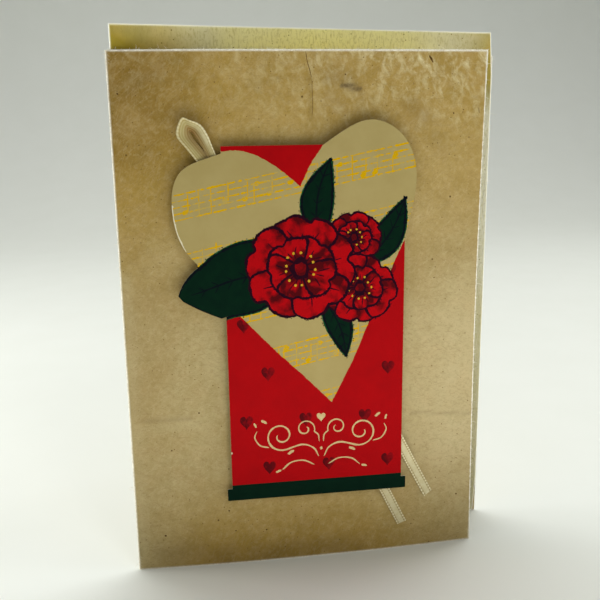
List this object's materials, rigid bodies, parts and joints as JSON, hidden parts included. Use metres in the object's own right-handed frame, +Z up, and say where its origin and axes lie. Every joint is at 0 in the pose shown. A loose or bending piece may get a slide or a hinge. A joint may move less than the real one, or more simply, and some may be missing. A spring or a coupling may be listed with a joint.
{
  "type": "greeting card",
  "caption": "Standing folded card of mottled fibre paper with a die-cut heart tag on foam pads, a narrow ribbon looped behind it and a pale envelope between the leaves.",
  "frame": {"origin": "middle of the footprint on the surface that the card stands on", "axes": "+Z up along the height; the front leaf, with the tag, faces -Y; the fold is at the left, at -X"},
  "size_m": [0.1268, 0.025, 0.1766],
  "materials": {
    "fibre_paper": "mottled brown-cream fibre paper, matt",
    "envelope_paper": "speckled pale green-cream paper, matt",
    "printed_card": "card printed in red, cream, dark green and yellow, matt",
    "woven_ribbon": "cream woven ribbon, soft sheen",
    "foam": "white closed-cell foam, matt"
  },
  "bodies": {
    "root": {"card_cover": "fibre_paper", "envelope": "envelope_paper", "tag": "printed_card", "ribbon": "woven_ribbon", "foam_pad_upper_left": "foam", "foam_pad_upper_right": "foam", "foam_pad_lower_left": "foam", "foam_pad_lower_right": "foam"}
  },
  "joints": []
}
